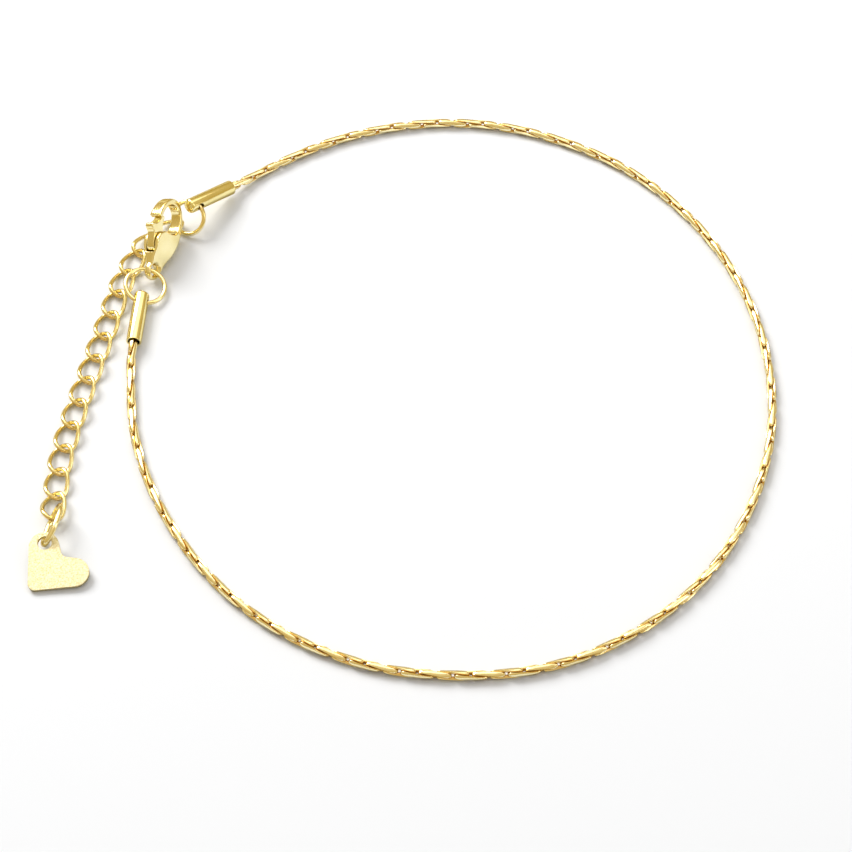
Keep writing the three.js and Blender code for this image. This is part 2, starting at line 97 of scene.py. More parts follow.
floor_mesh.from_pydata([(x, y, 0.0) for x, y in floor_corners], [], [(0, 1, 2, 3)])
floor = bpy.data.objects.new("floor", floor_mesh)
bpy.context.scene.collection.objects.link(floor)
floor_sheet = bpy.data.materials.new("white_sheet")
floor_sheet.use_nodes = True
sheet_shader = floor_sheet.node_tree.nodes["Principled BSDF"]
sheet_shader.inputs["Base Color"].default_value = FLOOR_WHITE
sheet_shader.inputs["Roughness"].default_value = 1.0
sheet_shader.inputs["Specular IOR Level"].default_value = 0.0
floor_mesh.materials.append(floor_sheet)

room = bpy.data.worlds.new("room")
room.use_nodes = True
room_nodes = room.node_tree.nodes
room_links = room.node_tree.links
room_light = room_nodes["Background"]
room_light.inputs["Color"].default_value = ROOM_LIGHT
room_seen = room_nodes.new("ShaderNodeBackground")
room_way = room_nodes.new("ShaderNodeTexCoord")
room_parts = room_nodes.new("ShaderNodeSeparateXYZ")
room_tone = room_nodes.new("ShaderNodeMix")
room_tone.data_type = "RGBA"
room_tone.inputs["A"].default_value = ROOM_SEEN_LOW
room_tone.inputs["B"].default_value = ROOM_SEEN_HIGH
room_ray = room_nodes.new("ShaderNodeLightPath")
room_mix = room_nodes.new("ShaderNodeMixShader")
room_links.new(room_way.outputs["Generated"], room_parts.inputs["Vector"])
room_links.new(room_parts.outputs["Z"], room_tone.inputs["Factor"])
room_links.new(room_tone.outputs["Result"], room_seen.inputs["Color"])
room_links.new(room_ray.outputs["Is Glossy Ray"], room_mix.inputs["Fac"])
room_links.new(room_light.outputs["Background"], room_mix.inputs[1])
room_links.new(room_seen.outputs["Background"], room_mix.inputs[2])
room_links.new(room_mix.outputs["Shader"], room_nodes["World Output"].inputs["Surface"])
bpy.context.scene.world = room
bpy.context.scene.view_settings.view_transform = "Standard"

for row in LAMPS:
    lamp_data = bpy.data.lights.new(row["name"], "AREA")
    lamp_data.shape = "RECTANGLE"
    lamp_data.size = row["width"]
    lamp_data.size_y = row["height"]
    lamp_data.energy = row["watts"]
    lamp = bpy.data.objects.new(row["name"], lamp_data)
    lamp.location = row["place"]
    lamp.rotation_euler = (-Vector(row["place"])).to_track_quat("-Z", "Y").to_euler()
    bpy.context.scene.collection.objects.link(lamp)


# The gold plate on every piece: its colour is a little deeper in patches, its polish varies,
# fine marks catch the light, and painted shade turns it brown in its crevices and where its
# links meet. One node group gives all of this, with each metal's own values.
PATCH_DETAIL = 4.0
PATCH_RANGE = (0.35, 0.65)
MARK_DETAIL = 3.0
MARK_COARSENESS = 0.7
MARK_HEIGHT = 0.00005
# The metal's reflection at grazing angles is tinted dark bronze, painted shade on the edges of
# every piece.
GRAZING_SHADE_TINT = (0.45, 0.3, 0.1, 1.0)
# The colour of the painted shade in crevices and where links meet.
PAINTED_SHADE_COLOUR = (0.6, 0.34, 0.07, 1.0)
plate_group = bpy.data.node_groups.new("gold_plate", "ShaderNodeTree")
for name, kind in [
    ("Colour", "NodeSocketColor"),
    ("Deep Colour", "NodeSocketColor"),
    ("Patch Scale", "NodeSocketFloat"),
    ("Roughness", "NodeSocketFloat"),
    ("Roughness Spread", "NodeSocketFloat"),
    ("Mark Scale", "NodeSocketFloat"),
    ("Mark Depth", "NodeSocketFloat"),
    ("Painted Shade Colour", "NodeSocketColor"),
]:
    plate_group.interface.new_socket(name=name, in_out="INPUT", socket_type=kind)
plate_group.interface.new_socket(name="Colour", in_out="OUTPUT", socket_type="NodeSocketColor")
plate_group.interface.new_socket(name="Roughness", in_out="OUTPUT", socket_type="NodeSocketFloat")
plate_group.interface.new_socket(name="Normal", in_out="OUTPUT", socket_type="NodeSocketVector")
group_nodes = plate_group.nodes
group_links = plate_group.links
group_in = group_nodes.new("NodeGroupInput")
group_out = group_nodes.new("NodeGroupOutput")
place_node = group_nodes.new("ShaderNodeTexCoord")
patches = group_nodes.new("ShaderNodeTexNoise")
patches.inputs["Detail"].default_value = PATCH_DETAIL
patch_share = group_nodes.new("ShaderNodeMapRange")
patch_share.inputs["From Min"].default_value = PATCH_RANGE[0]
patch_share.inputs["From Max"].default_value = PATCH_RANGE[1]
patch_mix = group_nodes.new("ShaderNodeMix")
patch_mix.data_type = "RGBA"
marks = group_nodes.new("ShaderNodeTexNoise")
marks.inputs["Detail"].default_value = MARK_DETAIL
marks.inputs["Roughness"].default_value = MARK_COARSENESS
spread = group_nodes.new("ShaderNodeMath")
spread.operation = "MULTIPLY_ADD"
# The painted shade: the crevice share kept on the mesh mixes the colour towards the shade colour.
crevice_shade = group_nodes.new("ShaderNodeAttribute")
crevice_shade.attribute_name = "crevice_shade"
painted_shade_mix = group_nodes.new("ShaderNodeMix")
painted_shade_mix.data_type = "RGBA"
bump = group_nodes.new("ShaderNodeBump")
bump.inputs["Distance"].default_value = MARK_HEIGHT
group_links.new(place_node.outputs["Object"], patches.inputs["Vector"])
group_links.new(group_in.outputs["Patch Scale"], patches.inputs["Scale"])
group_links.new(patches.outputs["Fac"], patch_share.inputs["Value"])
group_links.new(patch_share.outputs["Result"], patch_mix.inputs["Factor"])
group_links.new(group_in.outputs["Colour"], patch_mix.inputs["A"])
group_links.new(group_in.outputs["Deep Colour"], patch_mix.inputs["B"])
group_links.new(place_node.outputs["Object"], marks.inputs["Vector"])
group_links.new(group_in.outputs["Mark Scale"], marks.inputs["Scale"])
group_links.new(marks.outputs["Fac"], spread.inputs[0])
group_links.new(group_in.outputs["Roughness Spread"], spread.inputs[1])
group_links.new(group_in.outputs["Roughness"], spread.inputs[2])
group_links.new(marks.outputs["Fac"], bump.inputs["Height"])
group_links.new(group_in.outputs["Mark Depth"], bump.inputs["Strength"])
group_links.new(crevice_shade.outputs["Fac"], painted_shade_mix.inputs["Factor"])
group_links.new(patch_mix.outputs["Result"], painted_shade_mix.inputs["A"])
group_links.new(group_in.outputs["Painted Shade Colour"], painted_shade_mix.inputs["B"])
group_links.new(painted_shade_mix.outputs["Result"], group_out.inputs["Colour"])
group_links.new(spread.outputs["Value"], group_out.inputs["Roughness"])
group_links.new(bump.outputs["Normal"], group_out.inputs["Normal"])


def gold_finish(
    name, colour, deep, patch_scale, roughness, roughness_spread, mark_scale, mark_depth
):
    """A metal whose colour, roughness and normal come from the gold plate group, with its own
    values. The roughness is its least value plus the spread times a noise."""
    material = bpy.data.materials.new(name)
    material.use_nodes = True
    shader = material.node_tree.nodes["Principled BSDF"]
    shader.inputs["Metallic"].default_value = 1.0
    # Painted shade on the edges: the grazing reflection is tinted dark.
    shader.inputs["Specular Tint"].default_value = GRAZING_SHADE_TINT
    plate = material.node_tree.nodes.new("ShaderNodeGroup")
    plate.node_tree = plate_group
    plate.inputs["Colour"].default_value = (*colour, 1.0)
    plate.inputs["Deep Colour"].default_value = (*deep, 1.0)
    plate.inputs["Patch Scale"].default_value = patch_scale
    plate.inputs["Roughness"].default_value = roughness
    plate.inputs["Roughness Spread"].default_value = roughness_spread
    plate.inputs["Mark Scale"].default_value = mark_scale
    plate.inputs["Mark Depth"].default_value = mark_depth
    plate.inputs["Painted Shade Colour"].default_value = PAINTED_SHADE_COLOUR
    material.node_tree.links.new(plate.outputs["Colour"], shader.inputs["Base Color"])
    material.node_tree.links.new(plate.outputs["Roughness"], shader.inputs["Roughness"])
    material.node_tree.links.new(plate.outputs["Normal"], shader.inputs["Normal"])
    return material


# The main chain is drawn brass wire, linked, twisted and cut flat on its outer faces, then
# plated. Its links hold each other a quarter turn apart, and the whole chain is twisted along its
# length.
CHAIN_LINKS = 114
CHAIN_WIDTH = 1.0
CHAIN_WIRE_HEIGHT = 0.58
CHAIN_BAR = 0.36
CHAIN_END = 0.8
CHAIN_CUT_RADIUS = 0.53
CHAIN_TIP_SHARPNESS = 4
CHAIN_TIP_THINNING = 0.4
CHAIN_INNER_THINNING = 0.35
# Painted shade: the wire's inner side, where the links hold each other, and each link's tips are
# darkened towards the shade colour.
CHAIN_TIP_SHADE = 0.35
CHAIN_TIP_SHADE_SHARPNESS = 3
CHAIN_CREVICE_RISE = 1.3
CHAIN_CREVICE_START = 0.2
CHAIN_MEETING_SLACK = 0.1
CHAIN_SECTIONS = 32
CHAIN_WIRE_SIDES = 12
CHAIN_SQUARENESS = 5.0
CHAIN_WIRE_SQUARENESS = 3.2
CHAIN_TWIST_PER_LINK = 2 * np.pi / 12
CHAIN_REST = 0.53
CHAIN_IN_TUBE = 1.2
CHAIN_OUT_STRAIGHT = 0.5
ROUTE_STEPS = 80
WIRE_SHARP_OVER = 40
CHAIN_ROUTE = [
    (-18.5, 29.7, 0.56),
    (-15.3, 31.9, CHAIN_REST),
    (-9.7, 34.9, CHAIN_REST),
    (-3.9, 36.8, CHAIN_REST),
    (1.9, 37.7, CHAIN_REST),
    (7.6, 37.6, CHAIN_REST),
    (13.4, 36.4, CHAIN_REST),
    (18.9, 34.2, CHAIN_REST),
    (24.1, 31.1, CHAIN_REST),
    (28.9, 26.8, CHAIN_REST),
    (33.1, 21.4, CHAIN_REST),
    (36.4, 15.1, CHAIN_REST),
    (38.6, 8.1, CHAIN_REST),
    (39.5, 0.6, CHAIN_REST),
    (39.1, -6.9, CHAIN_REST),
    (37.3, -14.0, CHAIN_REST),
    (34.4, -20.4, CHAIN_REST),
    (30.7, -25.8, CHAIN_REST),
    (26.3, -30.2, CHAIN_REST),
    (21.5, -33.5, CHAIN_REST),
    (16.7, -35.8, CHAIN_REST),
    (11.6, -37.2, CHAIN_REST),
    (6.7, -37.7, CHAIN_REST),
    (1.8, -37.6, CHAIN_REST),
    (-3.2, -36.9, CHAIN_REST),
    (-8.0, -35.4, CHAIN_REST),
    (-12.8, -33.1, CHAIN_REST),
    (-17.5, -29.8, CHAIN_REST),
    (-21.8, -25.5, CHAIN_REST),
    (-25.6, -20.1, CHAIN_REST),
    (-28.7, -13.9, CHAIN_REST),
    (-30.8, -6.9, CHAIN_REST),
    (-31.6, 0.6, CHAIN_REST),
    (-31.7, 2.6, 0.56),
]
JUMP_RING_A = {
    "radius": 1.9,
    "middle": JUMP_RING_A_MIDDLE,
    "facing": np.array([-0.306, -0.598, 0.741]),
    "to_tube": np.radians(58),
}
JUMP_RING_B = {
    "radius": 2.25,
    "middle": np.array([-30.74, 12.4, 1.15]),
    "facing": np.array([0.25, -0.1, 1.0]),
    "to_tube": np.radians(-99),
}
TUBE_A_MOUTH = np.array([-20.77, 27.9, 0.92])
TUBE_B_MOUTH = np.array([-31.53, 4.88, 0.88])
TUBE_RADIUS = 0.85
TUBE_LENGTH = 6.75
TUBE_HOLE_FROM_END = 1.1
UPWARD = np.array([0.0, 0.0, 1.0])


def unit(vectors):
    """Each vector divided by its length, the root of the sum of its squares."""
    return vectors / np.linalg.norm(vectors, axis=-1, keepdims=True)


def tube_line(mouth, ring):
    """The line of a tube, from its mouth to the ring's wire. The tube's hole is on the ring's
    middle circle less the tube's radius squared over four times the ring's, because the wire
    bends within the tube."""
    facing = unit(ring["facing"])
    out = np.array([np.cos(ring["to_tube"]), np.sin(ring["to_tube"]), 0.0])
    out = unit(out - facing * (out @ facing))
    inward = TUBE_RADIUS**2 / (4 * ring["radius"])
    crossing = ring["middle"] + out * (ring["radius"] - inward)
    axis = unit(crossing - mouth)
    start = crossing + axis * (TUBE_HOLE_FROM_END - TUBE_LENGTH)
    return {"start": start, "axis": axis, "wire_way": np.cross(facing, out)}


tube_line_a = tube_line(TUBE_A_MOUTH, JUMP_RING_A)
tube_line_b = tube_line(TUBE_B_MOUTH, JUMP_RING_B)


def smooth_route(points):
    """A centripetal Catmull-Rom curve through the points: each stretch is a cubic whose slopes
    weigh its neighbours by the square roots of their lengths. Returns its places and the length
    up to each."""
    points = np.asarray(points, float)
    padded = np.vstack([2 * points[0] - points[1], points, 2 * points[-1] - points[-2]])
    p0, p1, p2, p3 = padded[:-3], padded[1:-2], padded[2:-1], padded[3:]
    roots = np.sqrt(np.linalg.norm(np.diff(padded, axis=0), axis=1))[:, None]
    d0, d1, d2 = roots[:-2], roots[1:-1], roots[2:]
    slope_1 = ((p1 - p0) / d0 - (p2 - p0) / (d0 + d1) + (p2 - p1) / d1) * d1
    slope_2 = ((p2 - p1) / d1 - (p3 - p1) / (d1 + d2) + (p3 - p2) / d2) * d1
    t = np.linspace(0, 1, ROUTE_STEPS, endpoint=False)[None, :, None]
    p1, p2, slope_1, slope_2 = (each[:, None, :] for each in (p1, p2, slope_1, slope_2))
    cubic = (
        p1
        + slope_1 * t
        + (-3 * p1 + 3 * p2 - 2 * slope_1 - slope_2) * t**2
        + (2 * p1 - 2 * p2 + slope_1 + slope_2) * t**3
    )
    places = np.vstack([cubic.reshape(-1, 3), points[-1]])
    lengths = np.concatenate([[0.0], np.cumsum(np.linalg.norm(np.diff(places, axis=0), axis=1))])
    return places, lengths


def frames_at(route, length):
    """Place, forward, left and up at lengths along a route: forward is its slope, left is level,
    and up is square to both. Past an end, the route goes straight on."""
    places, lengths = route
    slopes = unit(np.gradient(places, lengths, axis=0))
    forward = np.stack([np.interp(length, lengths, slopes[:, k]) for k in range(3)], axis=-1)
    forward = unit(forward)
    beyond = length - np.clip(length, 0, lengths[-1])
    place = np.stack([np.interp(length, lengths, places[:, k]) for k in range(3)], axis=-1)
    place = place + forward * beyond[..., None]
    left = unit(np.cross(UPWARD, forward))
    up = np.cross(forward, left)
    return place, forward, left, up


def whole_turn(steps):
    """Equal angles round a whole turn: each step's number times two pi over the count."""
    return np.arange(steps) * 2 * np.pi / steps


def power_of(value, squareness):
    """A cosine or sine raised to the power two over squareness, with its sign, as on a
    superellipse."""
    return np.sign(value) * np.abs(value) ** (2 / squareness)


def link_loops(route, pitch, indices):
    """Links of the main chain on a grid. Round the loop, a superellipse with flat sides; round
    the wire, a smaller one with a flat outer face; then a turn about the route that grows with
    the length. What stands out past the cut radius is cut back to it. Also gives the share of
    painted shade at each place, which grows towards the wire's inner side and the link's tips."""
    index = np.asarray(indices)[:, None, None]
    round_loop = (np.arange(CHAIN_SECTIONS) + 0.5)[None, :, None] * 2 * np.pi / CHAIN_SECTIONS
    round_wire = whole_turn(CHAIN_WIRE_SIDES)[None, None, :]
    middle = (index + 0.5) * pitch - np.where(index >= CHAIN_LINKS // 2, CHAIN_MEETING_SLACK, 0.0)
    along = power_of(np.cos(round_loop), CHAIN_SQUARENESS)
    across = power_of(np.sin(round_loop), CHAIN_SQUARENESS)
    inward = (1 - power_of(np.cos(round_wire), CHAIN_WIRE_SQUARENESS)) / 2
    tip = np.cos(round_loop) ** CHAIN_TIP_SHARPNESS
    height = CHAIN_WIRE_HEIGHT / 2 * power_of(np.sin(round_wire), CHAIN_WIRE_SQUARENESS)
    height = height * (1 - CHAIN_TIP_THINNING * tip * (1 - inward))
    height = height * (1 - CHAIN_INNER_THINNING * inward)
    outer_half = (pitch + 2 * CHAIN_END) / 2
    hole_half = pitch / 2
    forward_by = (outer_half + (hole_half - outer_half) * inward) * along
    sideways = (CHAIN_WIDTH / 2 - CHAIN_BAR * inward) * across
    length = middle + forward_by
    turn = (index % 2) * np.pi / 2 + CHAIN_TWIST_PER_LINK * length / pitch
    place, _, left, up = frames_at(route, length)
    side_by = sideways * np.cos(turn) - height * np.sin(turn)
    up_by = sideways * np.sin(turn) + height * np.cos(turn)
    spread = np.hypot(side_by, up_by)
    cut = np.minimum(1, CHAIN_CUT_RADIUS / np.maximum(spread, CHAIN_BAR / 2))
    # The share of painted shade: on the wire's inner side and at each link's tips.
    crevice_shade = np.clip(CHAIN_CREVICE_RISE * inward - CHAIN_CREVICE_START, 0, 1)
    crevice_shade = crevice_shade + CHAIN_TIP_SHADE * tip**CHAIN_TIP_SHADE_SHARPNESS
    places = place + left * (side_by * cut)[..., None] + up * (up_by * cut)[..., None]
    return places, np.clip(crevice_shade, 0, 1)


def closed_loops(name, loops, material, crevice_shade):
    """One mesh of many closed tubes. loops is [loop, round the loop, round the wire, place], and
    each face joins a place with the next ones round both. The share of painted shade in its
    crevices is kept on the mesh for its metal."""
    count, rows, columns, _ = loops.shape
    number = np.arange(count * rows * columns).reshape(count, rows, columns)
    on = np.roll(number, -1, axis=1)
    faces = np.stack([number, np.roll(number, -1, axis=2), np.roll(on, -1, axis=2), on], axis=-1)
    mesh = bpy.data.meshes.new(name)
    mesh.from_pydata(in_metres(loops).reshape(-1, 3).tolist(), [], faces.reshape(-1, 4).tolist())
    piece = finished(name, mesh, material)
    share = mesh.attributes.new("crevice_shade", "FLOAT", "POINT")
    share.data.foreach_set("value", np.broadcast_to(crevice_shade, loops.shape[:3]).ravel())
    return piece


def turn_outward(mesh):
    """Turns a closed mesh's faces outward."""
    work = bmesh.new()
    work.from_mesh(mesh)
    bmesh.ops.recalc_face_normals(work, faces=work.faces)
    work.to_mesh(mesh)
    work.free()


def shade(mesh, sharp_over):
    """Shades a mesh smooth, but for edges whose faces meet at more than the given angle."""
    mesh.polygons.foreach_set("use_smooth", np.ones(len(mesh.polygons), bool))
    mesh.set_sharp_from_angle(angle=np.radians(sharp_over))


def finished(name, mesh, material):
    """A piece of the anklet from a closed mesh: its faces turned outward, shaded, given its metal
    and linked to the scene."""
    turn_outward(mesh)
    shade(mesh, WIRE_SHARP_OVER)
    mesh.materials.append(material)
    piece = bpy.data.objects.new(name, mesh)
    bpy.context.scene.collection.objects.link(piece)
    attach(piece, "anklet")
    return piece


chain_gold = gold_finish(
    "cut_chain_gold",
    colour=(0.96, 0.88, 0.55),
    deep=(0.9, 0.78, 0.42),
    patch_scale=700.0,
    roughness=0.17,
    roughness_spread=0.08,
    mark_scale=6000.0,
    mark_depth=0.1,
)
chain_route = smooth_route(
    [
        tube_line_a["start"] + tube_line_a["axis"] * CHAIN_IN_TUBE,
        tube_line_a["start"] - tube_line_a["axis"] * CHAIN_OUT_STRAIGHT,
        *CHAIN_ROUTE,
        tube_line_b["start"] - tube_line_b["axis"] * CHAIN_OUT_STRAIGHT,
        tube_line_b["start"] + tube_line_b["axis"] * CHAIN_IN_TUBE,
    ]
)
chain_pitch = (chain_route[1][-1] + CHAIN_MEETING_SLACK) / CHAIN_LINKS
chain_middle = CHAIN_LINKS // 2
for name, first, last in [("a", 0, chain_middle), ("b", chain_middle, CHAIN_LINKS)]:
    links, crevice_shade = link_loops(chain_route, chain_pitch, np.arange(first, last))
    half = closed_loops("twisted_chain_" + name, links, chain_gold, crevice_shade)
    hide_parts("main_chain_" + name)

# The end tubes are drawn brass, bored at the mouth for the chain, rounded at the other end, and
# drilled across for the jump ring. The chain's last links are soldered in the bore.
TUBE_BORE_RADIUS = 0.68
TUBE_BORE_DEPTH = 2.0
TUBE_END_ROUND = 0.35
TUBE_END_STEPS = 12
TUBE_RIM_ROUND = 0.06
TUBE_RIM_STEPS = 7
TUBE_HOLE_RADIUS = 0.45
TUBE_SIDES = 64
TUBE_HOLE_SIDES = 32
POLE_MERGE = 1e-7
CUT_SHARP_OVER = 35


def turned(name, profile, start, axis, sides, material):
    """A turned piece: each place is the start, plus the profile's distance along the axis, plus
    its radius along a spoke that goes round the axis in equal steps. A radius of nought is a
    pole, and its ring of places is merged into one."""
    profile = np.asarray(profile, float)
    side_way = unit(np.cross(axis, UPWARD))
    up_way = np.cross(side_way, axis)
    turn = whole_turn(sides)
    spoke = np.cos(turn)[:, None] * side_way + np.sin(turn)[:, None] * up_way
    places = start + profile[:, None, 1:] * axis + profile[:, None, :1] * spoke
    rows = len(profile)
    number = np.arange(rows * sides).reshape(rows, sides)
    beside = np.roll(number, -1, axis=1)
    faces = np.stack([number[:-1], beside[:-1], beside[1:], number[1:]], axis=-1)
    mesh = bpy.data.meshes.new(name)
    mesh.from_pydata(in_metres(places).reshape(-1, 3).tolist(), [], faces.reshape(-1, 4).tolist())
    work = bmesh.new()
    work.from_mesh(mesh)
    bmesh.ops.remove_doubles(work, verts=work.verts, dist=POLE_MERGE)
    work.to_mesh(mesh)
    work.free()
    return finished(name, mesh, material)


def arc(x, y, radius, first, last, steps):
    """Places on an arc: its middle plus its radius times the cosine and sine of equal steps from
    the first angle to the last."""
    angle = np.linspace(first, last, steps)
    return np.stack([x + radius * np.cos(angle), y + radius * np.sin(angle)], axis=1)


def work_in(piece, sharp_over):
    """Works a piece's modifiers into its mesh, and shades it smooth but for edges over the given
    angle."""
    bpy.context.view_layer.update()
    evaluated = piece.evaluated_get(bpy.context.evaluated_depsgraph_get())
    shape = bpy.data.meshes.new_from_object(evaluated)
    piece.modifiers.clear()
    piece.data = shape
    shade(shape, sharp_over)


def combine(piece, other, operation):
    """Joins another piece to this one, cuts it away or keeps only what the two share, and then
    takes the other from the scene."""
    cut = piece.modifiers.new("cut", "BOOLEAN")
    cut.operation = operation
    cut.solver = "EXACT"
    cut.object = other
    work_in(piece, CUT_SHARP_OVER)
    bpy.data.objects.remove(other)


def drill_through(piece, place, way, radius, half_length):
    """Cuts a round hole in the piece, through a place and along a way."""
    drill = turned(
        "drill",
        [(0, -half_length), (radius, -half_length), (radius, half_length), (0, half_length)],
        place,
        way,
        TUBE_HOLE_SIDES,
        piece.data.materials[0],
    )
    combine(piece, drill, "DIFFERENCE")


tube_profile = np.vstack(
    [
        [(0, TUBE_BORE_DEPTH), (TUBE_BORE_RADIUS, TUBE_BORE_DEPTH)],
        [(TUBE_BORE_RADIUS, TUBE_RIM_ROUND)],
        arc(
            TUBE_RADIUS - TUBE_RIM_ROUND,
            TUBE_RIM_ROUND,
            TUBE_RIM_ROUND,
            -np.pi,
            0,
            TUBE_RIM_STEPS,
        ),
        arc(
            TUBE_RADIUS - TUBE_END_ROUND,
            TUBE_LENGTH - TUBE_END_ROUND,
            TUBE_END_ROUND,
            0,
            np.pi / 2,
            TUBE_END_STEPS,
        ),
        [(0, TUBE_LENGTH)],
    ]
)
tube_gold = gold_finish(
    "drawn_tube_gold",
    colour=(0.94, 0.84, 0.42),
    deep=(0.89, 0.78, 0.36),
    patch_scale=500.0,
    roughness=0.12,
    roughness_spread=0.08,
    mark_scale=6000.0,
    mark_depth=0.1,
)
for name, line in [("a", tube_line_a), ("b", tube_line_b)]:
    tube = turned(
        "end_sleeve_" + name, tube_profile, line["start"], line["axis"], TUBE_SIDES, tube_gold
    )
    hole_place = line["start"] + line["axis"] * (TUBE_LENGTH - TUBE_HOLE_FROM_END)
    drill_through(tube, hole_place, line["wire_way"], TUBE_HOLE_RADIUS, 2 * TUBE_RADIUS)
    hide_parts("end_tube_" + name)

# The jump rings are round brass wire, bent to a circle and closed. One holds the first tube and the
# extender's first link, and the other holds the second tube and the clasp's eye.
RING_WIRE = 0.5
RING_SECTIONS = 96
RING_SIDES = 20


def bent_wire(centre_line, normals, wire, sides=RING_SIDES):
    """A closed wire: circles of the wire's radius round a closed centre line, each laid square to
    it, from the given normals made square to the line's slope."""
    slope = unit(np.roll(centre_line, -1, axis=0) - np.roll(centre_line, 1, axis=0))
    over = unit(normals - slope * np.sum(normals * slope, axis=1, keepdims=True))
    out = np.cross(slope, over)
    turn = whole_turn(sides)
    outward = np.cos(turn)[None, :, None] * out[:, None]
    sideways = np.sin(turn)[None, :, None] * over[:, None]
    return centre_line[:, None] + (outward + sideways) * wire / 2


def round_ring(ring):
    """A circle: the ring's middle plus its radius times the cosine and sine of equal angles,
    along two ways that are square to its facing."""
    facing = unit(ring["facing"])
    side_way = unit(np.cross(facing, UPWARD))
    up_way = np.cross(facing, side_way)
    turn = whole_turn(RING_SECTIONS)[:, None]
    circle = ring["middle"] + ring["radius"] * (np.cos(turn) * side_way + np.sin(turn) * up_way)
    return circle, np.broadcast_to(facing, circle.shape)


ring_gold = gold_finish(
    "ring_gold",
    colour=(0.95, 0.85, 0.48),
    deep=(0.89, 0.76, 0.38),
    patch_scale=600.0,
    roughness=0.12,
    roughness_spread=0.08,
    mark_scale=7000.0,
    mark_depth=0.1,
)
for name, ring in [("a", JUMP_RING_A), ("b", JUMP_RING_B)]:
    circle, facing = round_ring(ring)
    wire = bent_wire(circle, facing, RING_WIRE)
    wire_ring = closed_loops("wire_ring_" + name, wire[None], ring_gold, 0.0)
    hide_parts("jump_ring_" + name)

# The clasp is a cast brass lobster claw, tumbled so that its edges are soft. Its hook and tail
# eye are in one with its two cheeks, and the pin that the lever turns on is riveted through them.
CLASP_TAIL_EYE = {"x": -0.1, "y": 1.05, "middle": 0.86, "wall": 0.25, "half": 0.42}
EYE_SECTIONS = 64
EYE_SIDES = 24
CLASP_OUTER = [
    (-1.1, 1.3),
    (-1.3, 2.8),
    (-1.75, 4.5),
    (-2.0, 6.6),
    (-1.7, 8.4),
    (-0.65, 9.65),
    (0.65, 9.85),
    (1.7, 9.0),
    (2.2, 7.8),
    (2.28, 6.95),
]
CLASP_INNER = [
    (1.75, 6.9),
    (1.6, 7.85),
    (1.05, 8.8),
    (0.1, 9.2),
    (-0.85, 8.8),
    (-1.4, 7.75),
    (-1.35, 6.6),
    (-0.7, 5.9),
    (0.8, 5.65),
]
CLASP_LEVER_SIDE = [(1.5, 5.1), (1.7, 4.2), (1.3, 2.8), (0.85, 1.55)]
CLASP_HALF_THICKNESS = [
    (0.55, -0.2),
    (0.55, 1.9),
    (1.0, 3.4),
    (1.08, 4.9),
    (0.98, 6.2),
    (0.74, 7.6),
    (0.68, 10.1),
]
CLASP_SLOT = [(-0.45, 6.2), (-0.45, 4.5), (-0.15, 3.2), (0.25, 2.9), (3.0, 2.7), (3.0, 6.2)]
CLASP_SLOT_HALF = 0.6
CLASP_REACH = 3.0
CLASP_DEEP = 2.4
CLASP_TAIL_PLACE = np.array([-30.05, 14.55, 1.28])
CLASP_HEADING = np.radians(14.9)
CLASP_RISE = np.radians(16.3)
CLASP_ROLL = np.radians(64)
CLASP_CURVE_STEPS = 10
CLASP_GRAIN = 0.044
CLASP_WEAR = 48
WEAR_STEP = 0.5
RIVET_HALF = 0.8
PIVOT = (0.65, 3.72)
PIN_RADIUS = 0.26
PIN_CLEARANCE = 0.05
PIN_SIDES = 32
SHARP_NOWHERE = 180


def smooth_line(points, steps=CLASP_CURVE_STEPS):
    """A flat curve through the points: each stretch is a cubic, and its slope at a point is half
    the span between that point's neighbours."""
    points = np.asarray(points, float)
    padded = np.vstack([points[0], points, points[-1]])
    padded = padded[:, None]
    p0, p1, p2, p3 = padded[:-3], padded[1:-2], padded[2:-1], padded[3:]
    t = np.linspace(0, 1, steps, endpoint=False)[None, :, None]
    slope_1, slope_2 = (p2 - p0) / 2, (p3 - p1) / 2
    cubic = p1 + slope_1 * t + (-3 * p1 + 3 * p2 - 2 * slope_1 - slope_2) * t**2
    cubic = cubic + (2 * p1 - 2 * p2 + slope_1 + slope_2) * t**3
    return np.vstack([cubic.reshape(-1, 2), points[-1]])


def plain_piece(name, places, faces, material):
    """A closed mesh in millimetres of its own drawing, with its faces turned outward, linked to
    the scene."""
    mesh = bpy.data.meshes.new(name)
    mesh.from_pydata(places, [], faces)
    turn_outward(mesh)
    mesh.materials.append(material)
    piece = bpy.data.objects.new(name, mesh)
    bpy.context.scene.collection.objects.link(piece)
    return piece


ACROSS_X = 0
ACROSS_Z = 2


def prism(name, outline, low, high, across, material):
    """A flat outline raised between two heights. across says which of x, y and z the heights lie
    along."""
    outline = np.asarray(outline, float)
    count = len(outline)
    places = np.empty((2, count, 3))
    flat_axes = [k for k in range(3) if k != across]
    places[:, :, flat_axes[0]] = outline[:, 0]
    places[:, :, flat_axes[1]] = outline[:, 1]
    places[0, :, across] = low
    places[1, :, across] = high
    number = np.arange(count)
    beside = np.roll(number, -1)
    walls = np.stack([number, beside, beside + count, number + count], axis=1).tolist()
    faces = [number.tolist(), (number + count).tolist(), *walls]
    return plain_piece(name, places.reshape(-1, 3).tolist(), faces, material)


def circle_line(x, y, radius, sides):
    """Places on a whole circle: its middle plus its radius times the cosine and sine of equal
    angles."""
    angle = whole_turn(sides)
    return np.stack([x + radius * np.cos(angle), y + radius * np.sin(angle)], axis=1)


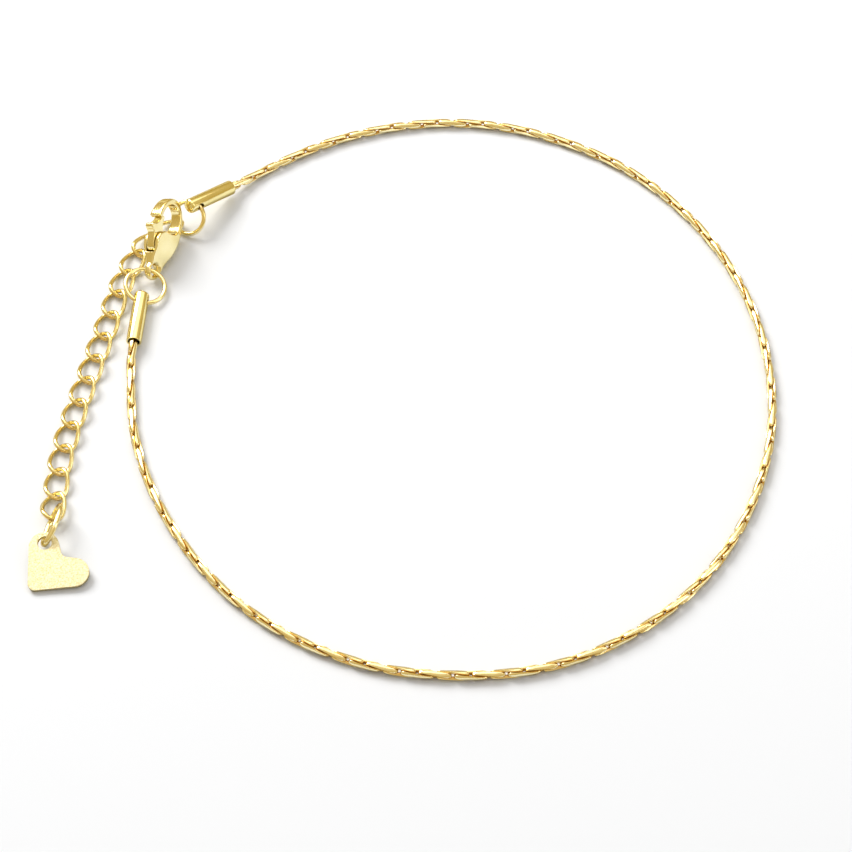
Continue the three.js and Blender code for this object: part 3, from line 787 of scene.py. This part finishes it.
def eye_of(eye, material):
    """The tail eye, a ring of flattened wire: its reach is the middle radius plus the wall times
    a cosine round the wire, and its depth is the half depth times the sine."""
    turn = whole_turn(EYE_SECTIONS)[:, None]
    about = whole_turn(EYE_SIDES)[None, :]
    reach = eye["middle"] + eye["wall"] * np.cos(about)
    x = eye["x"] + reach * np.cos(turn)
    y = eye["y"] + reach * np.sin(turn)
    z = np.broadcast_to(eye["half"] * np.sin(about), x.shape)
    number = np.arange(EYE_SECTIONS * EYE_SIDES).reshape(EYE_SECTIONS, EYE_SIDES)
    on = np.roll(number, -1, axis=0)
    faces = np.stack([number, np.roll(number, -1, axis=1), np.roll(on, -1, axis=1), on], axis=-1)
    places = np.stack([x, y, z], axis=-1).reshape(-1, 3).tolist()
    return plain_piece("eye", places, faces.reshape(-1, 4).tolist(), material)


def clasp_place(places):
    """Places of the clasp's drawing, whose x points to the lever and y to the hook, laid as the
    clasp lies: turned to its heading, raised at the hook and rolled on its spine."""
    to_hook = np.array(
        [
            np.sin(CLASP_HEADING) * np.cos(CLASP_RISE),
            np.cos(CLASP_HEADING) * np.cos(CLASP_RISE),
            np.sin(CLASP_RISE),
        ]
    )
    level = unit(np.cross(UPWARD, to_hook))
    above = np.cross(to_hook, level)
    to_lever = level * np.cos(CLASP_ROLL) + above * np.sin(CLASP_ROLL)
    axes = np.stack([to_lever, to_hook, np.cross(to_lever, to_hook)])
    from_eye = places - [CLASP_TAIL_EYE["x"], CLASP_TAIL_EYE["y"], 0]
    return CLASP_TAIL_PLACE + from_eye @ axes


def wear_and_place(piece, grain, rounds):
    """Lays the piece on a fine grid of cubes and smooths it in rounds, so that its edges are worn
    soft, and then lays it in its place on the anklet."""
    grid = piece.modifiers.new("grid", "REMESH")
    grid.mode = "VOXEL"
    grid.voxel_size = grain
    wear = piece.modifiers.new("wear", "SMOOTH")
    wear.factor = WEAR_STEP
    wear.iterations = rounds
    work_in(piece, SHARP_NOWHERE)
    mesh = piece.data
    places = np.empty(len(mesh.vertices) * 3)
    mesh.vertices.foreach_get("co", places)
    mesh.vertices.foreach_set("co", in_metres(clasp_place(places.reshape(-1, 3))).ravel())
    mesh.update()


clasp_gold = gold_finish(
    "cast_clasp_gold",
    colour=(0.95, 0.86, 0.5),
    deep=(0.89, 0.77, 0.38),
    patch_scale=500.0,
    roughness=0.12,
    roughness_spread=0.1,
    mark_scale=4000.0,
    mark_depth=0.2,
)
claw_line = np.vstack(
    [smooth_line(CLASP_OUTER), smooth_line(CLASP_INNER), smooth_line(CLASP_LEVER_SIDE)]
)
thickness = smooth_line(CLASP_HALF_THICKNESS)
edge_line = np.vstack([thickness, (thickness * [-1, 1])[::-1]])
claw = prism("cast_claw", claw_line, -CLASP_DEEP, CLASP_DEEP, ACROSS_Z, clasp_gold)
edge = prism("edge", edge_line[:, ::-1], -CLASP_REACH, CLASP_REACH, ACROSS_X, clasp_gold)
combine(claw, edge, "INTERSECT")
slot = prism("slot", CLASP_SLOT, -CLASP_SLOT_HALF, CLASP_SLOT_HALF, ACROSS_Z, clasp_gold)
combine(claw, slot, "DIFFERENCE")
eye_gap = circle_line(
    CLASP_TAIL_EYE["x"], CLASP_TAIL_EYE["y"], CLASP_TAIL_EYE["middle"], PIN_SIDES
)
eye_room = prism("gap", eye_gap, -CLASP_DEEP, CLASP_DEEP, ACROSS_Z, clasp_gold)
combine(claw, eye_room, "DIFFERENCE")
combine(claw, eye_of(CLASP_TAIL_EYE, clasp_gold), "UNION")
rivet_line = circle_line(*PIVOT, PIN_RADIUS, PIN_SIDES)
rivet = prism("rivet", rivet_line, -RIVET_HALF, RIVET_HALF, ACROSS_Z, clasp_gold)
combine(claw, rivet, "UNION")
wear_and_place(claw, CLASP_GRAIN, CLASP_WEAR)
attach(claw, "anklet")
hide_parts("clasp_body")

# The lever is cast brass with a thumb tab, bored for the pin. A spring inside the claw presses
# its end to the hook.
LEVER_HALF = 0.52
LEVER_OUTLINE = [
    (0.05, 3.35),
    (0.65, 3.03),
    (1.38, 3.25),
    (1.85, 4.3),
    (2.1, 4.95),
    (2.65, 5.3),
    (2.7, 5.75),
    (2.2, 5.95),
    (1.75, 6.6),
    (1.6, 7.2),
    (1.15, 7.25),
    (1.0, 6.25),
    (0.5, 5.1),
    (0.0, 4.0),
]
LEVER_CURVE_STEPS = 6
LEVER_BORE_HALF = 1.0
LEVER_GRAIN = 0.04
LEVER_WEAR = 28
lever_line = smooth_line([*LEVER_OUTLINE, LEVER_OUTLINE[0]], LEVER_CURVE_STEPS)[:-1]
lever = prism("thumb_lever", lever_line, -LEVER_HALF, LEVER_HALF, ACROSS_Z, clasp_gold)
bore_line = circle_line(*PIVOT, PIN_RADIUS + PIN_CLEARANCE, PIN_SIDES)
lever_bore = prism("bore", bore_line, -LEVER_BORE_HALF, LEVER_BORE_HALF, ACROSS_Z, clasp_gold)
combine(lever, lever_bore, "DIFFERENCE")
wear_and_place(lever, LEVER_GRAIN, LEVER_WEAR)
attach(lever, "lever")
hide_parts("clasp_lever")

# The extender is a curb chain of round brass wire: oval links, each turned alike at its quarters
# so that the chain lies flat, from the first jump ring to the charm's ring.
EXTENDER_LINKS = 14
EXTENDER_PITCH = 3.12
EXTENDER_WIRE = 0.48
EXTENDER_HALF_WIDTH = 1.16
EXTENDER_HALF_LENGTH = 1.86
EXTENDER_TURN = 0.38
EXTENDER_SQUARENESS = 2.2
EXTENDER_SECTIONS = 80
EXTENDER_SIDES = 16
EXTENDER_REST = 0.61
# Painted shade on the wire's inner side near each link's ends, where the links hold each other.
EXTENDER_SHADE = 0.8
EXTENDER_SHADE_ENDS = 4
EXTENDER_SHADE_INSIDE = 2
EXTENDER_ROUTE = [
    (-28.7, 21.1, 0.68),
    (-31.1, 18.9, 0.66),
    (-33.4, 13.5, EXTENDER_REST),
    (-34.7, 7.5, EXTENDER_REST),
    (-36.0, 1.5, EXTENDER_REST),
    (-37.3, -4.5, EXTENDER_REST),
    (-38.3, -10.5, EXTENDER_REST),
    (-38.6, -16.8, 0.8),
    (-38.5, -19.5, 1.5),
]


def curb_link(route, index):
    """A closed line: an oval across and along the route, raised and lowered by a sine of twice
    the turn."""
    turn = whole_turn(EXTENDER_SECTIONS)
    place, forward, left, up = frames_at(route, np.array(index * EXTENDER_PITCH))
    across = EXTENDER_HALF_WIDTH * power_of(np.cos(turn), EXTENDER_SQUARENESS)
    along = EXTENDER_HALF_LENGTH * power_of(np.sin(turn), EXTENDER_SQUARENESS)
    rise = -EXTENDER_TURN * np.sin(2 * turn)
    line = place + across[:, None] * left + along[:, None] * forward + rise[:, None] * up
    return line, np.broadcast_to(up, line.shape)


extender_gold = gold_finish(
    "curb_wire_gold",
    colour=(0.95, 0.85, 0.48),
    deep=(0.88, 0.75, 0.36),
    patch_scale=600.0,
    roughness=0.14,
    roughness_spread=0.08,
    mark_scale=6000.0,
    mark_depth=0.1,
)
extender_route = smooth_route(EXTENDER_ROUTE)
# The painted shade on every curb link: on the wire's inner side, near the link's ends.
near_ends = np.abs(np.sin(whole_turn(EXTENDER_SECTIONS))) ** EXTENDER_SHADE_ENDS
facing_in = np.clip(-np.cos(whole_turn(EXTENDER_SIDES)), 0, 1) ** EXTENDER_SHADE_INSIDE
inner_shade = EXTENDER_SHADE * near_ends[:, None] * facing_in[None, :]
for index in range(EXTENDER_LINKS):
    line, over = curb_link(extender_route, index)
    number = f"{index + 1:02d}"
    wire = bent_wire(line, over, EXTENDER_WIRE, EXTENDER_SIDES)
    curb = closed_loops("curb_link_" + number, wire[None], extender_gold, inner_shade)
    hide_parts("extender_link_" + number)

# The heart is cut from thin sheet, its edge tumbled soft, its face satin with fine pits, and
# drilled in one lobe. It lies on its point and lower edge, its lobes raised by the ring.
HEART_THICKNESS = 0.5
HEART_LOBE_RADIUS = 1.6
HEART_LOBE_OFFSET = 2.2
HEART_LOBE_ALONG = 4.75
HEART_NOTCH_ALONG = 5.35
HEART_LOBE_STEPS = 40
HEART_NOTCH_SIDE = 0.25
HEART_NOTCH_SIDE_RISE = 0.02
HEART_POINT_RADIUS = 0.8
HEART_POINT_HALF_ANGLE = np.pi / 4.4
HEART_POINT_STEPS = 16
HEART_HOLE = {"x": -2.4, "y": 5.05, "radius": 0.75}
HEART_HOLE_SIDES = 48
HEART_HOLE_REACH = 1.0
HEART_POINT_PLACE = np.array([-40.5, -27.6, 0.0])
HEART_AXIS_ANGLE = np.radians(49)
HEART_TILT = np.radians(12)
HEART_EDGE_ROUND = 0.14
HEART_EDGE_STEPS = 4
HEART_EDGE_OVER = 50
HEART_FLAT_AREA = 0.14
HEART_SHARP_OVER = 60


def turned_about_z(places, angle):
    """Places turned about the upright axis: x is x by the cosine less y by the sine, and y is x
    by the sine plus y by the cosine."""
    cosine, sine = np.cos(angle), np.sin(angle)
    return places @ np.array([[cosine, sine, 0], [-sine, cosine, 0], [0, 0, 1]])


def turned_about_x(places, angle):
    """Places turned about the level axis to the right: y is y by the cosine less z by the sine,
    and z is y by the sine plus z by the cosine."""
    cosine, sine = np.cos(angle), np.sin(angle)
    return places @ np.array([[1, 0, 0], [0, cosine, sine], [0, -sine, cosine]])


def heart_place(places):
    """Places of the heart's own drawing turned to its axis, tilted, and set at its point."""
    lying = turned_about_z(places, HEART_AXIS_ANGLE - np.pi / 2)
    return turned_about_x(lying, HEART_TILT) + HEART_POINT_PLACE


def heart_outline():
    """A round point, two straight sides that touch it and the lobes, two round lobes, and a
    shallow notch."""
    point_y = HEART_POINT_RADIUS / np.sin(HEART_POINT_HALF_ANGLE)
    reach = np.hypot(HEART_LOBE_OFFSET, HEART_LOBE_ALONG - point_y)
    side = np.arctan2(HEART_LOBE_ALONG - point_y, HEART_LOBE_OFFSET)
    swing = np.arcsin((HEART_LOBE_RADIUS - HEART_POINT_RADIUS) / reach)
    tangent = side - swing - np.pi / 2
    to_notch = np.arctan2(HEART_NOTCH_ALONG - HEART_LOBE_ALONG, -HEART_LOBE_OFFSET)
    notch_reach = np.hypot(HEART_LOBE_OFFSET, HEART_NOTCH_ALONG - HEART_LOBE_ALONG)
    inner = to_notch - np.arccos(HEART_LOBE_RADIUS / notch_reach)
    lobe = (HEART_LOBE_OFFSET, HEART_LOBE_ALONG, HEART_LOBE_RADIUS)
    right = arc(*lobe, tangent, inner, HEART_LOBE_STEPS)
    point = arc(0, point_y, HEART_POINT_RADIUS, -np.pi / 2, tangent, HEART_POINT_STEPS)
    notch = (HEART_NOTCH_SIDE, HEART_NOTCH_ALONG + HEART_NOTCH_SIDE_RISE)
    half = np.vstack([point, right, [notch]])
    mirrored = half[::-1] * [-1, 1]
    return np.vstack([half, mirrored[:-1]])


charm_gold = gold_finish(
    "satin_charm_gold",
    colour=(0.8, 0.77, 0.6),
    deep=(0.6, 0.53, 0.27),
    patch_scale=5500.0,
    roughness=0.3,
    roughness_spread=0.25,
    mark_scale=8000.0,
    mark_depth=1.0,
)
heart = prism("cut_heart", heart_outline(), 0, HEART_THICKNESS, ACROSS_Z, charm_gold)
hole_line = circle_line(HEART_HOLE["x"], HEART_HOLE["y"], HEART_HOLE["radius"], HEART_HOLE_SIDES)
heart_hole = prism("hole", hole_line, -HEART_HOLE_REACH, HEART_HOLE_REACH, ACROSS_Z, charm_gold)
combine(heart, heart_hole, "DIFFERENCE")
tumbled_edge = heart.modifiers.new("tumbled_edge", "BEVEL")
tumbled_edge.width = HEART_EDGE_ROUND
tumbled_edge.segments = HEART_EDGE_STEPS
tumbled_edge.limit_method = "ANGLE"
tumbled_edge.angle_limit = np.radians(HEART_EDGE_OVER)
tumbled_edge.harden_normals = True
work_in(heart, HEART_SHARP_OVER)
face_areas = np.empty(len(heart.data.polygons))
heart.data.polygons.foreach_get("area", face_areas)
heart.data.polygons.foreach_set("use_smooth", face_areas < HEART_FLAT_AREA)
flat_places = np.empty(len(heart.data.vertices) * 3)
heart.data.vertices.foreach_get("co", flat_places)
heart.data.vertices.foreach_set("co", in_metres(heart_place(flat_places.reshape(-1, 3))).ravel())
heart.data.update()
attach(heart, "anklet")
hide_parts("heart_charm")

# The charm's ring is thicker brass wire bent to an oval. It stands on edge, through the heart's
# hole and the last link of the extender.
CHARM_RING_WIRE = 0.6
CHARM_RING_HALF_LENGTH = 2.35
CHARM_RING_HALF_WIDTH = 1.35
CHARM_RING_ALONG = np.array([0.26, 1.0, 0.06])
CHARM_RING_FACING = np.array([1.0, -0.23, -0.6])
hole_place = np.array([[HEART_HOLE["x"], HEART_HOLE["y"], HEART_THICKNESS / 2]])
hole_middle = heart_place(hole_place)[0]
ring_along = unit(CHARM_RING_ALONG)
ring_across = unit(np.cross(CHARM_RING_FACING, ring_along))
ring_middle = hole_middle + ring_along * CHARM_RING_HALF_LENGTH
ring_turn = whole_turn(RING_SECTIONS)[:, None]
oval = (
    ring_middle
    + CHARM_RING_HALF_LENGTH * np.cos(ring_turn) * ring_along
    + CHARM_RING_HALF_WIDTH * np.sin(ring_turn) * ring_across
)
oval_facing = np.broadcast_to(np.cross(ring_along, ring_across), oval.shape)
oval_wire = bent_wire(oval, oval_facing, CHARM_RING_WIRE)
charm_ring = closed_loops("oval_ring", oval_wire[None], ring_gold, 0.0)
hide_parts("charm_ring")
